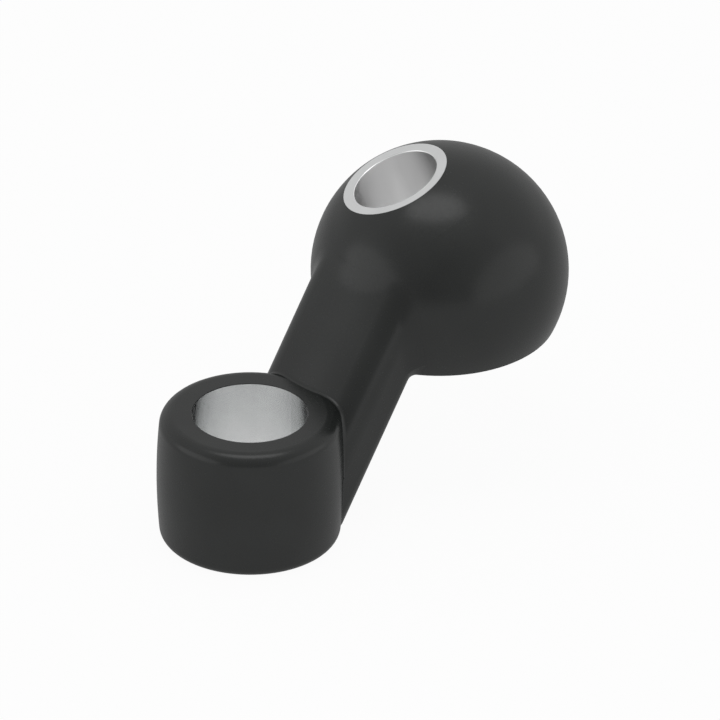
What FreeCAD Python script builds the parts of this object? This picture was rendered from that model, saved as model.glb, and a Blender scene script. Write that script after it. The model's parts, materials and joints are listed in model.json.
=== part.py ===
"""Angled rod end with a sealed swivel bearing.

A moulded link carries a straight steel-lined boss at one end and a ball-shaped
head at the other. The head holds a swivel bearing whose bore leans over at a
compound angle, so that the sleeve leaves the head out of line with the boss.

Frame: millimetres, +Z up along the boss bore, origin at the middle of the boss
bore, +X from the boss towards the head.
The bearing pieces are drawn about the bearing axis: r outwards, w along the
axis from the centre of the head, and are then stood in the head as one stack.
"""
import FreeCAD, Part
import math
import os
import Sketcher

os.makedirs("parts", exist_ok=True)
doc = FreeCAD.newDocument("RodEnd")

# ---------------------------------------------------------------- sizes
# Name, value or formula, what it is. Lengths in mm, angles in degrees.
SIZES = [
    # Master sizes
    ("sleeve_bore", "6.0", "radius of the sleeve bore, for a 12 mm bolt"),
    ("head_reach", "36.0", "boss axis to head centre, along X"),
    ("boss_height", "18.66", "height of the boss between its two flat faces"),
    ("head_flat_drop", "7.46", "head centre down to the flat underside of the head"),
    # Moulded link: boss
    ("bush_bore", "7.82", "radius of the boss bore"),
    ("bush_wall", "1.4", "wall of the boss bush"),
    ("bush_outer", "=bush_bore + bush_wall", "bush outside radius"),
    ("boss_wall", "3.33", "wall of the moulding round the bush, at the parting line"),
    ("boss_radius", "=bush_outer + boss_wall", "boss radius at the parting line, half way up"),
    ("boss_bulge", "0.49", "how much wider the boss is there than at its faces: its wall is a barrel"),
    ("boss_round", "1.9", "edge round of the upper rim of the boss"),
    ("boss_foot_round", "1.5", "edge round of the lower rim of the boss"),
    ("boss_mid", "=boss_height / 2", "height of the parting line above the boss underside"),
    ("frame_drop", "=-boss_mid", "from the drawing base, the boss underside, down to the frame"),
    ("boss_rim", "=boss_radius - boss_bulge", "boss radius at its faces, before the rounds"),
    ("boss_barrel", "=(boss_mid * boss_mid + boss_bulge * boss_bulge) / 2 / boss_bulge",
     "radius of the arc that the boss wall follows from face to face"),
    ("barrel_centre", "=boss_radius - boss_barrel", "where that arc has its centre, across the boss"),
    # Steel bush moulded into the boss
    ("bush_cover", "0.8", "how thick the moulding covers each coned end of the bush, at its rim"),
    ("bush_lip", "0.1", "the same at the bore, where the moulding runs out in a thin lip"),
    ("bush_lip_gap", "0.04", "how far the lip stands back from the bore"),
    ("bush_lip_bore", "=bush_bore + bush_lip_gap", "bore radius of the lips"),
    ("bush_low", "=bush_lip", "lower end of the bush, at its bore"),
    ("bush_high", "=boss_height - bush_lip", "upper end of the bush, at its bore"),
    ("bush_low_rim", "=bush_cover", "lower end of the bush, at its rim"),
    ("bush_high_rim", "=boss_height - bush_cover", "upper end of the bush, at its rim"),
    ("bush_groove", "0.5", "depth of the grip grooves that lock the bush in the moulding"),
    ("bush_groove_width", "1.6", "width of a grip groove"),
    ("bush_groove_floor", "=bush_outer - bush_groove", "radius at the floor of a grip groove"),
    ("grip_offset", "=boss_height / 6", "middle of a grip groove from the parting line"),
    ("grip_low_foot", "=boss_mid - grip_offset - bush_groove_width / 2", "foot of the lower grip groove"),
    ("grip_low_top", "=boss_mid - grip_offset + bush_groove_width / 2", "top of the lower grip groove"),
    ("grip_high_foot", "=boss_mid + grip_offset - bush_groove_width / 2", "foot of the upper grip groove"),
    ("grip_high_top", "=boss_mid + grip_offset + bush_groove_width / 2", "top of the upper grip groove"),
    ("cut_low", "=-bush_wall", "how far below the boss its bore is cut"),
    ("boss_cut_high", "=boss_height + head_flat_drop", "how far above the boss its bore is cut"),
    # Ball and liner, outwards from the sleeve
    ("sleeve_wall", "1.5", "wall of the sleeve"),
    ("sleeve_outer", "=sleeve_bore + sleeve_wall", "outside radius of the sleeve"),
    ("liner_wall", "0.5", "wall of the liner, with its running clearance"),
    ("ball_bore", "=sleeve_outer + liner_wall", "bore radius of the ball"),
    ("running_gap", "0.02", "radial running clearance of sleeve in liner"),
    ("liner_bore", "=sleeve_outer + running_gap", "bore radius of the liner"),
    ("ball_low", "-3.2", "lower flat of the ball"),
    ("ball_top", "5.3", "upper flat of the ball"),
    ("ball_land", "0.48", "width of the upper flat of the ball, round its bore"),
    ("ball_radius", "=sqrt((ball_bore + ball_land) * (ball_bore + ball_land) + ball_top * ball_top)",
     "radius of the swivel ball"),
    ("swing_deg", "7.5", "swivel of the ball each way from its middle position"),
    # Bearing shell and head, outwards from the ball
    ("seat_wall", "1.2", "least wall of the seats, at the middle of the ball"),
    ("shell_bore", "=ball_radius + seat_wall", "bore radius of the bearing shell"),
    ("shell_wall", "1.2", "wall of the bearing shell"),
    ("shell_outer", "=shell_bore + shell_wall", "outside radius of the bearing shell"),
    ("head_wall", "4.93", "wall of the head outside the shell"),
    ("head_radius", "=shell_outer + head_wall", "radius of the ball-shaped head"),
    ("head_rise", "=boss_height + head_flat_drop", "head centre above the boss underside"),
    ("head_level", "=head_rise + frame_drop", "height of the head centre in the frame"),
    # Moulded link: arm. Its crest runs from the boss top to just inside the head.
    ("arm_root", "=boss_rim - boss_round", "boss axis to where the arm crest meets the boss top"),
    ("arm_sink", "0.8", "how far the arm crest passes inside the surface of the head"),
    ("arm_crest", "=head_radius - arm_sink", "head centre to the arm crest, square to the slope"),
    ("arm_span", "=head_reach - arm_root", "arm root to head centre, along X"),
    ("arm_reach", "=sqrt(arm_span * arm_span + head_flat_drop * head_flat_drop)", "arm root to head centre"),
    ("arm_slope_deg", "=(atan(head_flat_drop / arm_span) + asin(arm_crest / arm_reach)) / 1deg",
     "slope of the arm above the horizontal"),
    ("head_flat_radius", "=sqrt(head_radius * head_radius - head_flat_drop * head_flat_drop)",
     "radius of the flat underside of the head"),
    ("arm_landing", "2.53", "how far inside the edge of that flat the arm underside meets it"),
    ("arm_under", "=head_reach - head_flat_radius + arm_landing", "boss axis to that line"),
    ("arm_thickness", "=(arm_under - arm_root) * sin(arm_slope_deg * 1deg)",
     "arm thickness, crest to underside"),
    ("arm_half_width", "9.0", "half of the arm width"),
    ("arm_crown", "26", "crown radius across the top of the arm"),
    ("arm_shoulder", "4.2", "shoulder round of the arm"),
    ("arm_corner", "2.5", "lower corner round of the arm"),
    ("arm_bury", "=boss_height * 0.82", "length of the arm inside the boss, along its slope"),
    ("arm_length", "=sqrt(arm_reach * arm_reach - arm_crest * arm_crest) + arm_bury",
     "arm length, from inside the boss to level with the head centre"),
    ("arm_foot", "1.3", "height at which the foot of the arm stops on the boss wall"),
    ("foot_cut_low", "=-arm_thickness", "how far down the foot is cleared"),
    ("foot_cut_reach", "=boss_radius + arm_thickness", "radius that is cleared below the foot"),
    ("arm_blend", "0.7", "concave blend where the arm leaves the underside of the head"),
    ("arm_crest_blend", "0.3", "concave blend where the crest of the arm leaves the boss top"),
    ("edge_slack", "0.1", "slack within which an edge counts as one of the arm"),
    # Lean of the bearing
    ("lean_deg", "22.7", "lean of the bearing axis from vertical"),
    ("lean_heading_deg", "141.6", "heading of the lean, from +X towards +Y"),
    ("lean_axis_x", "=cos((lean_heading_deg + 90) * 1deg)", "axis about which the stack is leant, X"),
    ("lean_axis_y", "=sin((lean_heading_deg + 90) * 1deg)", "axis about which the stack is leant, Y"),
    # Sleeve, with the pieces at its ends
    ("sleeve_top", "=sqrt(head_radius * head_radius - sleeve_outer * sleeve_outer)",
     "upper end of the sleeve, flush with the head"),
    ("end_gap", "0.03", "end play of the sleeve at each washer"),
    ("washer_thickness", "0.55", "thickness of the lower thrust washer"),
    ("washer_low", "=ball_low - washer_thickness", "lower face of the lower thrust washer"),
    ("washer_inner", "=sleeve_outer + 0.08", "inside radius of the thrust washers"),
    ("washer_outer", "=ball_bore + 1.0", "outside radius of the lower thrust washer"),
    ("sleeve_flange", "=sleeve_outer + 1.1", "radius of the flange at the foot of the sleeve"),
    ("sleeve_flange_top", "=washer_low - end_gap", "upper face of the flange"),
    ("sleeve_flange_low", "=sleeve_flange_top - 0.6", "lower face of the flange"),
    ("sleeve_low", "=sleeve_flange_low - 0.37", "lower end of the sleeve"),
    ("sleeve_chamfer", "0.1", "edge break of the sleeve ends"),
    ("sleeve_bore_chamfer", "=sleeve_bore + sleeve_chamfer", "bore radius at the edge break"),
    ("sleeve_low_chamfer", "=sleeve_low + sleeve_chamfer", "top of the lower edge break"),
    ("sleeve_low_outer", "=sleeve_outer - sleeve_chamfer", "outside radius at the lower edge break"),
    ("sleeve_top_chamfer", "=sleeve_top - sleeve_chamfer", "foot of the upper edge break"),
    ("liner_top", "=sleeve_top - 1.67", "upper end of the liner"),
    ("lip_ring_top", "=liner_top - 0.15", "upper face of the boot lip ring"),
    ("lip_ring_low", "=lip_ring_top - 0.6", "lower face of the boot lip ring"),
    ("lip_ring_outer", "=ball_bore + 1.3", "outside radius of the boot lip ring"),
    ("upper_washer_thickness", "0.25", "thickness of the upper thrust washer"),
    ("upper_washer_top", "=liner_top + upper_washer_thickness", "upper face of the upper thrust washer"),
    ("upper_washer_outer", "=ball_bore + 0.3", "outside radius of the upper thrust washer"),
    ("clip_groove_depth", "0.3", "depth of the retaining ring groove in the sleeve"),
    ("clip_groove_floor", "=sleeve_outer - clip_groove_depth", "radius at the floor of that groove"),
    ("clip_thickness", "0.5", "thickness of the sleeve retaining ring"),
    ("clip_low", "=upper_washer_top + end_gap", "lower face of the sleeve retaining ring"),
    ("clip_high", "=clip_low + clip_thickness", "upper face of the sleeve retaining ring"),
    ("clip_groove_low", "=clip_low - 0.02", "foot of the retaining ring groove"),
    ("clip_groove_high", "=clip_high + 0.02", "top of the retaining ring groove"),
    ("clip_inner", "=clip_groove_floor + 0.02", "inside radius of the sleeve retaining ring"),
    ("clip_opening", "2.4", "gap of the sleeve retaining ring"),
    ("clip_outer", "=ball_bore + 0.25", "outside radius of the sleeve retaining ring"),
    ("seal_groove", "0.75", "depth of the ring seal grooves in the sleeve"),
    ("seal_groove_floor", "=sleeve_outer - seal_groove", "radius at the floor of a seal groove"),
    ("seal_groove_width", "0.95", "width of a ring seal groove"),
    ("seal_high", "=lip_ring_low - 0.9", "middle of the upper ring seal"),
    ("seal_low", "=ball_low / 2", "middle of the lower ring seal"),
    ("seal_high_top", "=seal_high + seal_groove_width / 2", "top of the upper seal groove"),
    ("seal_high_low", "=seal_high - seal_groove_width / 2", "foot of the upper seal groove"),
    ("seal_low_top", "=seal_low + seal_groove_width / 2", "top of the lower seal groove"),
    ("seal_low_low", "=seal_low - seal_groove_width / 2", "foot of the lower seal groove"),
    ("seal_section", "0.365", "section radius of a ring seal"),
    ("seal_radius", "=liner_bore - seal_section - 0.01", "radius of the ring seal centre line"),
    # Shell and the stack in it
    ("rim_level", "=sqrt(head_radius * head_radius - shell_outer * shell_outer)",
     "where the mouth of the shell pocket meets the surface of the head"),
    ("shell_low", "-1.2", "lower end of the bearing shell"),
    ("shell_top", "=rim_level - 1.5", "upper end of the bearing shell"),
    ("shell_chamfer", "0.3", "edge break at the top of the shell bore"),
    ("shell_bore_chamfer", "=shell_bore + shell_chamfer", "bore radius at that edge break"),
    ("shell_top_chamfer", "=shell_top - shell_chamfer", "foot of that edge break"),
    ("pocket_floor", "-2.5", "shelf of the head under the stack"),
    ("pocket_high", "=head_radius + 3", "how far above the head centre the pocket is cut"),
    ("window_radius", "=ball_radius - 0.1", "radius of the way out through the underside"),
    ("window_low", "=-head_radius", "how far the way out is cut"),
    ("ball_gap", "0.02", "running clearance of ball in seats"),
    ("seat_sphere", "=ball_radius + ball_gap", "sphere radius of the two seats"),
    ("seat_split", "0.12", "half of the gap between the two seats"),
    ("lower_seat_top", "=-seat_split", "upper face of the lower seat"),
    ("wiper_top", "-1.9", "upper face of the wiper, lower face of the lower seat"),
    ("wiper_inner", "=sqrt(seat_sphere * seat_sphere - wiper_top * wiper_top)", "inside radius of the wiper"),
    ("stack_gap", "0.02", "radial clearance of the stack in the shell"),
    ("stack_outer", "=shell_bore - stack_gap", "outside radius of seats, wiper and washer"),
    ("upper_seat_low", "=seat_split", "lower face of the upper seat"),
    ("upper_seat_edge", "=ball_top - 0.85", "where the upper seat leaves the ball"),
    ("upper_seat_mouth", "=sqrt(seat_sphere * seat_sphere - upper_seat_edge * upper_seat_edge)",
     "opening of the upper seat"),
    ("upper_seat_top", "=ball_top + 0.3", "upper face of the upper seat"),
    ("spring_height", "1.1", "space taken by the wave spring"),
    ("spring_thickness", "0.3", "thickness of the wave spring"),
    ("spring_inner", "=ball_bore + 1.5", "inside radius of the wave spring"),
    ("spring_outer", "=shell_bore - 0.3", "outside radius of the wave spring"),
    ("spring_waves", "3", "waves round the spring"),
    ("spring_low", "=upper_seat_top + 0.01", "lowest point of the wave spring"),
    ("backing_low", "=upper_seat_top + spring_height + 0.02", "lower face of the backing washer"),
    ("backing_top", "=backing_low + 0.8", "upper face of the backing washer"),
    ("backing_inner", "=spring_inner", "inside radius of the backing washer"),
    ("circlip_low", "=backing_top + 0.01", "lower face of the shell retaining ring"),
    ("circlip_top", "=circlip_low + 0.9", "upper face of the shell retaining ring"),
    ("circlip_inner", "=shell_bore - 1.2", "inside radius of the shell retaining ring"),
    ("circlip_groove", "=shell_bore + 0.55", "radius at the floor of the shell groove"),
    ("circlip_outer", "=circlip_groove - 0.03", "outside radius of the shell retaining ring"),
    ("circlip_opening", "5.0", "gap of the shell retaining ring"),
    ("gap_margin", "0.5", "how far the cut of such a gap passes the inside and outside of its ring"),
    ("circlip_groove_low", "=circlip_low - 0.01", "foot of the shell groove"),
    ("circlip_groove_top", "=circlip_top + 0.02", "top of the shell groove"),
    # Boot
    ("boot_thickness", "1.1", "thickness of the boot skin"),
    ("boot_inner_sphere", "=head_radius - boot_thickness", "inside sphere of the boot skin"),
    ("boot_rim", "=shell_outer", "outside radius of the boot rim"),
    ("boot_bead_outer", "=shell_bore - 0.02", "outside radius of the boot bead"),
    ("boot_bead_inner", "=shell_bore - 1.0", "inside radius of the boot bead"),
    ("boot_bead_low", "=circlip_top + 0.35", "lower end of the boot bead"),
    ("boot_rim_seat", "=shell_top + 0.01", "where the boot rim sits on the shell"),
    ("boot_skin_start", "=sqrt(boot_inner_sphere * boot_inner_sphere - boot_bead_inner * boot_bead_inner)",
     "where the bead runs into the skin"),
    ("boot_lip_bore", "=sleeve_outer + 0.03", "radius of the boot lip round the sleeve"),
    ("boot_lip_low", "=clip_high + 0.06", "underside of the boot lip"),
    ("boot_lip_recess", "=clip_outer + 0.12", "radius of the recess for the retaining ring"),
    ("boot_lip_seat", "=lip_ring_top + 0.01", "where the boot lip sits on its ring"),
    ("boot_lip_outer", "=lip_ring_outer", "outside radius of the lip where it meets its ring"),
    ("band_low", "=boot_bead_low + 0.15", "lower end of the boot band"),
    ("band_top", "=shell_top - 0.3", "upper end of the boot band"),
    ("liner_sweep", "=(ball_bore + shell_top * sin(swing_deg * 1deg)) / cos(swing_deg * 1deg)",
     "reach of the liner at full swivel, level with the shell top"),
    ("band_inner", "=liner_sweep + 0.25", "inside radius of the boot band, clear of the liner at full swivel"),
    ("band_outer", "=boot_bead_inner - 0.01", "outside radius of the boot band"),
]

sheet = doc.addObject("Spreadsheet::Sheet", "Sizes")
for row, (alias, value, meaning) in enumerate(SIZES, start=1):
    sheet.set("A%d" % row, alias)
    sheet.set("B%d" % row, value)
    sheet.set("C%d" % row, meaning)
    sheet.setAlias("B%d" % row, alias)
doc.recompute()


def size(alias):
    """The value of one named size, in mm or degrees."""
    return float(sheet.get(alias))


# ---------------------------------------------------------------- helpers
def plane(body, role):
    """One of the body's own origin planes."""
    return [item for item in body.Origin.OriginFeatures if item.Role == role][0]


def new_body(name):
    """A body whose label is the name of its file and node."""
    body = doc.addObject("PartDesign::Body", name)
    body.Label = name
    return body


def new_sketch(body, name, role):
    """A sketch flat on one of the body's origin planes."""
    sketch = body.newObject("Sketcher::SketchObject", name)
    sketch.AttachmentSupport = (plane(body, role), [""])
    sketch.MapMode = "FlatFace"
    return sketch


def bind(sketch, kind, args, alias):
    """A dimension of the sketch that follows a named size."""
    index = sketch.addConstraint(Sketcher.Constraint(kind, *args, size(alias)))
    sketch.setExpression("Constraints[%d]" % index, "Sizes." + alias)


def corner(point, arcs_radius):
    """First guess for a corner. A coordinate left open lies on the arc beside it."""
    across, along = point
    if across == "axis":
        return 0.0, size(along)
    if across is None:
        return math.sqrt(size(arcs_radius) ** 2 - size(along) ** 2), size(along)
    if along is None:
        return size(across), math.sqrt(size(arcs_radius) ** 2 - size(across) ** 2)
    return size(across), size(along)


def profile(sketch, corners, arcs=None):
    """A closed profile in (r, w).

    corners: pairs of size names; None leaves that coordinate to the arc, and
    "axis" puts the corner on the upright axis.
    arcs: {corner number: radius name} makes the edge that leaves that corner an
    arc about the sketch origin.
    """
    arcs = arcs or {}
    count = len(corners)
    places = []
    for number, point in enumerate(corners):
        near = arcs.get(number) or arcs.get((number - 1) % count)
        places.append(corner(point, near))
    edges = []
    for number in range(count):
        start = places[number]
        end = places[(number + 1) % count]
        if number in arcs:
            radius = size(arcs[number])
            first = math.atan2(start[1], start[0])
            last = math.atan2(end[1], end[0])
            circle = Part.Circle(FreeCAD.Vector(0, 0, 0), FreeCAD.Vector(0, 0, 1), radius)
            low, high = min(first, last), max(first, last)
            edge = sketch.addGeometry(Part.ArcOfCircle(circle, low, high))
            edges.append((edge, 1, 2) if first < last else (edge, 2, 1))
        else:
            line = Part.LineSegment(FreeCAD.Vector(start[0], start[1], 0), FreeCAD.Vector(end[0], end[1], 0))
            edges.append((sketch.addGeometry(line), 1, 2))
    for number in range(count):
        edge, _, tail = edges[number]
        after, head, _ = edges[(number + 1) % count]
        sketch.addConstraint(Sketcher.Constraint("Coincident", edge, tail, after, head))
    for number, alias in arcs.items():
        edge = edges[number][0]
        sketch.addConstraint(Sketcher.Constraint("Coincident", edge, 3, -1, 1))
        bind(sketch, "Radius", (edge,), alias)
    for number, (across, along) in enumerate(corners):
        edge, head, _ = edges[number]
        if across == "axis":
            sketch.addConstraint(Sketcher.Constraint("PointOnObject", edge, head, -2))
        elif across is not None:
            bind(sketch, "DistanceX", (-1, 1, edge, head), across)
        if along is not None:
            bind(sketch, "DistanceY", (-1, 1, edge, head), along)


def turned(body, sketch, kind, name):
    """A full turn of the sketch about its upright axis."""
    feature = body.newObject(kind, name)
    feature.Profile = sketch
    feature.ReferenceAxis = (sketch, ["V_Axis"])
    feature.Angle = 360
    sketch.Visibility = False
    return feature


def stand_in_head(body):
    """Stand a piece drawn about the bearing axis at its place in the head."""
    body.setExpression(".Placement.Base.x", "Sizes.head_reach")
    body.setExpression(".Placement.Base.z", "Sizes.head_level")
    body.setExpression(".Placement.Rotation.Axis.x", "Sizes.lean_axis_x")
    body.setExpression(".Placement.Rotation.Axis.y", "Sizes.lean_axis_y")
    body.setExpression(".Placement.Rotation.Axis.z", "0")
    body.setExpression(".Placement.Rotation.Angle", "Sizes.lean_deg")


def ring(name, corners, arcs=None, leaned=True):
    """A turned piece: one profile, one full turn."""
    body = new_body(name)
    sketch = new_sketch(body, name + "_section", "XZ_Plane")
    profile(sketch, corners, arcs)
    turned(body, sketch, "PartDesign::Revolution", name + "_turn")
    if leaned:
        stand_in_head(body)
    else:
        body.setExpression(".Placement.Base.z", "Sizes.frame_drop")
    return body


# ---------------------------------------------------------------- moulded link
link = new_body("link_body")

# The arm is a crowned bar. Its section is drawn square to the slope, with the
# section origin on the crest line, and is padded up the slope into the head.
arm_sketch = link.newObject("Sketcher::SketchObject", "arm_section")
arm_sketch.AttachmentSupport = (plane(link, "YZ_Plane"), [""])
arm_sketch.MapMode = "FlatFace"
half = size("arm_half_width")
deep = size("arm_thickness")
crown = size("arm_crown")
shoulder = size("arm_shoulder")
low = size("arm_corner")
shoulder_y = -crown + math.sqrt((crown - shoulder) ** 2 - (half - shoulder) ** 2)
lean = math.atan2(shoulder_y + crown, half - shoulder)
arm_sketch.addGeometry(Part.ArcOfCircle(Part.Circle(
    FreeCAD.Vector(0, -crown, 0), FreeCAD.Vector(0, 0, 1), crown), lean, math.pi - lean))
arm_sketch.addGeometry(Part.ArcOfCircle(Part.Circle(
    FreeCAD.Vector(half - shoulder, shoulder_y, 0), FreeCAD.Vector(0, 0, 1), shoulder), 0, lean))
arm_sketch.addGeometry(Part.LineSegment(
    FreeCAD.Vector(half, shoulder_y, 0), FreeCAD.Vector(half, low - deep, 0)))
arm_sketch.addGeometry(Part.ArcOfCircle(Part.Circle(
    FreeCAD.Vector(half - low, low - deep, 0), FreeCAD.Vector(0, 0, 1), low), -math.pi / 2, 0))
arm_sketch.addGeometry(Part.LineSegment(
    FreeCAD.Vector(half - low, -deep, 0), FreeCAD.Vector(low - half, -deep, 0)))
arm_sketch.addGeometry(Part.ArcOfCircle(Part.Circle(
    FreeCAD.Vector(low - half, low - deep, 0), FreeCAD.Vector(0, 0, 1), low), math.pi, 1.5 * math.pi))
arm_sketch.addGeometry(Part.LineSegment(
    FreeCAD.Vector(-half, low - deep, 0), FreeCAD.Vector(-half, shoulder_y, 0)))
arm_sketch.addGeometry(Part.ArcOfCircle(Part.Circle(
    FreeCAD.Vector(shoulder - half, shoulder_y, 0), FreeCAD.Vector(0, 0, 1), shoulder), math.pi - lean, math.pi))
for pair in [(0, 1, 1, 2), (1, 1, 2, 1), (2, 2, 3, 2), (3, 1, 4, 1),
             (4, 2, 5, 2), (5, 1, 6, 1), (6, 2, 7, 2), (7, 1, 0, 2)]:
    arm_sketch.addConstraint(Sketcher.Constraint("Tangent", *pair))
arm_sketch.addConstraint(Sketcher.Constraint("Vertical", 2))
arm_sketch.addConstraint(Sketcher.Constraint("Vertical", 6))
arm_sketch.addConstraint(Sketcher.Constraint("Symmetric", 4, 1, 4, 2, -2))
arm_sketch.addConstraint(Sketcher.Constraint("PointOnObject", 0, 3, -2))
arm_sketch.addConstraint(Sketcher.Constraint("Equal", 1, 7))
arm_sketch.addConstraint(Sketcher.Constraint("Equal", 3, 5))
arm_sketch.addConstraint(Sketcher.Constraint("PointOnObject", -1, 1, 0))
bind(arm_sketch, "Radius", (0,), "arm_crown")
bind(arm_sketch, "Radius", (1,), "arm_shoulder")
bind(arm_sketch, "Radius", (3,), "arm_corner")
bind(arm_sketch, "DistanceX", (-1, 1, 2, 1), "arm_half_width")
bind(arm_sketch, "DistanceY", (4, 1, -1, 1), "arm_thickness")
arm_sketch.setExpression(
    ".AttachmentOffset.Base.y",
    "Sizes.head_rise + Sizes.arm_crest * cos(Sizes.arm_slope_deg * 1deg)"
    " - Sizes.arm_length * sin(Sizes.arm_slope_deg * 1deg)")
arm_sketch.setExpression(
    ".AttachmentOffset.Base.z",
    "Sizes.head_reach - Sizes.arm_crest * sin(Sizes.arm_slope_deg * 1deg)"
    " - Sizes.arm_length * cos(Sizes.arm_slope_deg * 1deg)")
arm_sketch.setExpression(".AttachmentOffset.Rotation.Axis.x", "1")
arm_sketch.setExpression(".AttachmentOffset.Rotation.Axis.y", "0")
arm_sketch.setExpression(".AttachmentOffset.Rotation.Axis.z", "0")
arm_sketch.setExpression(".AttachmentOffset.Rotation.Angle", "-Sizes.arm_slope_deg")
arm = link.newObject("PartDesign::Pad", "arm")
arm.Profile = arm_sketch
arm.setExpression("Length", "Sizes.arm_length")
arm_sketch.Visibility = False
doc.recompute()

# The foot of the arm stops level, a little above the underside of the boss.
foot_sketch = new_sketch(link, "arm_foot_section", "XZ_Plane")
profile(foot_sketch, [
    ("axis", "foot_cut_low"), ("foot_cut_reach", "foot_cut_low"),
    ("foot_cut_reach", "arm_foot"), ("axis", "arm_foot")])
turned(link, foot_sketch, "PartDesign::Groove", "arm_foot_cut")
doc.recompute()

# The boss: a wall with a slight bulge, for draft both ways from the parting line, and rounded rims.
boss_sketch = new_sketch(link, "boss_section", "XZ_Plane")
barrel, middle_r, mid = size("boss_barrel"), size("barrel_centre"), size("boss_mid")
tall, soft, foot = size("boss_height"), size("boss_round"), size("boss_foot_round")
soft_turn = math.asin((tall - soft - mid) / (barrel - soft))
foot_turn = math.asin((mid - foot) / (barrel - foot))
soft_x = middle_r + (barrel - soft) * math.cos(soft_turn)
foot_x = middle_r + (barrel - foot) * math.cos(foot_turn)
boss_sketch.addGeometry(Part.LineSegment(FreeCAD.Vector(0, 0, 0), FreeCAD.Vector(foot_x, 0, 0)))
boss_sketch.addGeometry(Part.ArcOfCircle(Part.Circle(
    FreeCAD.Vector(foot_x, foot, 0), FreeCAD.Vector(0, 0, 1), foot), -math.pi / 2, -foot_turn))
boss_sketch.addGeometry(Part.ArcOfCircle(Part.Circle(
    FreeCAD.Vector(middle_r, mid, 0), FreeCAD.Vector(0, 0, 1), barrel), -foot_turn, soft_turn))
boss_sketch.addGeometry(Part.ArcOfCircle(Part.Circle(
    FreeCAD.Vector(soft_x, tall - soft, 0), FreeCAD.Vector(0, 0, 1), soft), soft_turn, math.pi / 2))
boss_sketch.addGeometry(Part.LineSegment(FreeCAD.Vector(soft_x, tall, 0), FreeCAD.Vector(0, tall, 0)))
boss_sketch.addGeometry(Part.LineSegment(FreeCAD.Vector(0, tall, 0), FreeCAD.Vector(0, 0, 0)))
for pair in [(0, 2, 1, 1), (1, 2, 2, 1), (2, 2, 3, 1), (3, 2, 4, 1)]:
    boss_sketch.addConstraint(Sketcher.Constraint("Tangent", *pair))
for pair in [(4, 2, 5, 1), (5, 2, 0, 1), (0, 1, -1, 1)]:
    boss_sketch.addConstraint(Sketcher.Constraint("Coincident", *pair))
boss_sketch.addConstraint(Sketcher.Constraint("Horizontal", 0))
boss_sketch.addConstraint(Sketcher.Constraint("Horizontal", 4))
boss_sketch.addConstraint(Sketcher.Constraint("Vertical", 5))
bind(boss_sketch, "DistanceX", (-1, 1, 2, 3), "barrel_centre")
bind(boss_sketch, "DistanceY", (-1, 1, 2, 3), "boss_mid")
bind(boss_sketch, "DistanceY", (-1, 1, 4, 2), "boss_height")
bind(boss_sketch, "Radius", (2,), "boss_barrel")
bind(boss_sketch, "Radius", (1,), "boss_foot_round")
bind(boss_sketch, "Radius", (3,), "boss_round")
turned(link, boss_sketch, "PartDesign::Revolution", "boss_turn")
doc.recompute()

head_sketch = new_sketch(link, "head_section", "XZ_Plane")
head_sketch.setExpression(".AttachmentOffset.Base.x", "Sizes.head_reach")
head_sketch.setExpression(".AttachmentOffset.Base.y", "Sizes.head_rise")
flat_radius = math.sqrt(size("head_radius") ** 2 - size("head_flat_drop") ** 2)
flat_turn = math.atan2(-size("head_flat_drop"), flat_radius)
head_sketch.addGeometry(Part.ArcOfCircle(Part.Circle(
    FreeCAD.Vector(0, 0, 0), FreeCAD.Vector(0, 0, 1), size("head_radius")), flat_turn, math.pi / 2))
head_sketch.addGeometry(Part.LineSegment(
    FreeCAD.Vector(0, size("head_radius"), 0), FreeCAD.Vector(0, -size("head_flat_drop"), 0)))
head_sketch.addGeometry(Part.LineSegment(
    FreeCAD.Vector(0, -size("head_flat_drop"), 0), FreeCAD.Vector(flat_radius, -size("head_flat_drop"), 0)))
head_sketch.addConstraint(Sketcher.Constraint("Coincident", 0, 2, 1, 1))
head_sketch.addConstraint(Sketcher.Constraint("Coincident", 1, 2, 2, 1))
head_sketch.addConstraint(Sketcher.Constraint("Coincident", 2, 2, 0, 1))
head_sketch.addConstraint(Sketcher.Constraint("Coincident", 0, 3, -1, 1))
head_sketch.addConstraint(Sketcher.Constraint("PointOnObject", 1, 1, -2))
head_sketch.addConstraint(Sketcher.Constraint("PointOnObject", 1, 2, -2))
head_sketch.addConstraint(Sketcher.Constraint("Horizontal", 2))
bind(head_sketch, "Radius", (0,), "head_radius")
bind(head_sketch, "DistanceY", (1, 2, -1, 1), "head_flat_drop")
turned(link, head_sketch, "PartDesign::Revolution", "head_turn")
doc.recompute()


def arm_edges(shape, place):
    """Concave edges of the arm: where its crest leaves the boss top, or its underside the head."""
    names = []
    slope, slack = math.radians(size("arm_slope_deg")), size("edge_slack")
    for number, edge in enumerate(shape.Edges, start=1):
        if edge.Degenerated:
            continue
        middle = edge.valueAt((edge.FirstParameter + edge.LastParameter) / 2)
        away = middle - FreeCAD.Vector(size("head_reach"), 0, size("head_rise"))
        rise = away.z * math.cos(slope) - away.x * math.sin(slope)
        across_arm = abs(middle.y) < size("arm_half_width") + slack
        on_arm = size("arm_crest") - size("arm_thickness") - slack < rise < size("arm_crest") + slack
        from_axis = math.hypot(middle.x, middle.y)
        at_top = abs(middle.z - size("boss_height")) < 1e-3
        if place == "head":
            wanted = at_top and from_axis > (size("boss_radius") + size("arm_under")) / 2
        else:
            on_rim = size("boss_height") - size("boss_round") < middle.z < size("boss_height") + 1e-3
            wanted = on_rim and size("arm_root") / 2 < middle.x and from_axis < size("boss_radius")
        if across_arm and on_arm and wanted:
            names.append("Edge%d" % number)
    return names


for place, radius in [("head", "arm_blend"), ("boss", "arm_crest_blend")]:
    under = doc.getObject("head_turn") if place == "head" else doc.getObject("arm_head_blend")
    blend = link.newObject("PartDesign::Fillet", "arm_%s_blend" % place)
    blend.Base = (under, arm_edges(under.Shape, place))
    blend.setExpression("Radius", "Sizes." + radius)
    doc.recompute()

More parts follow.
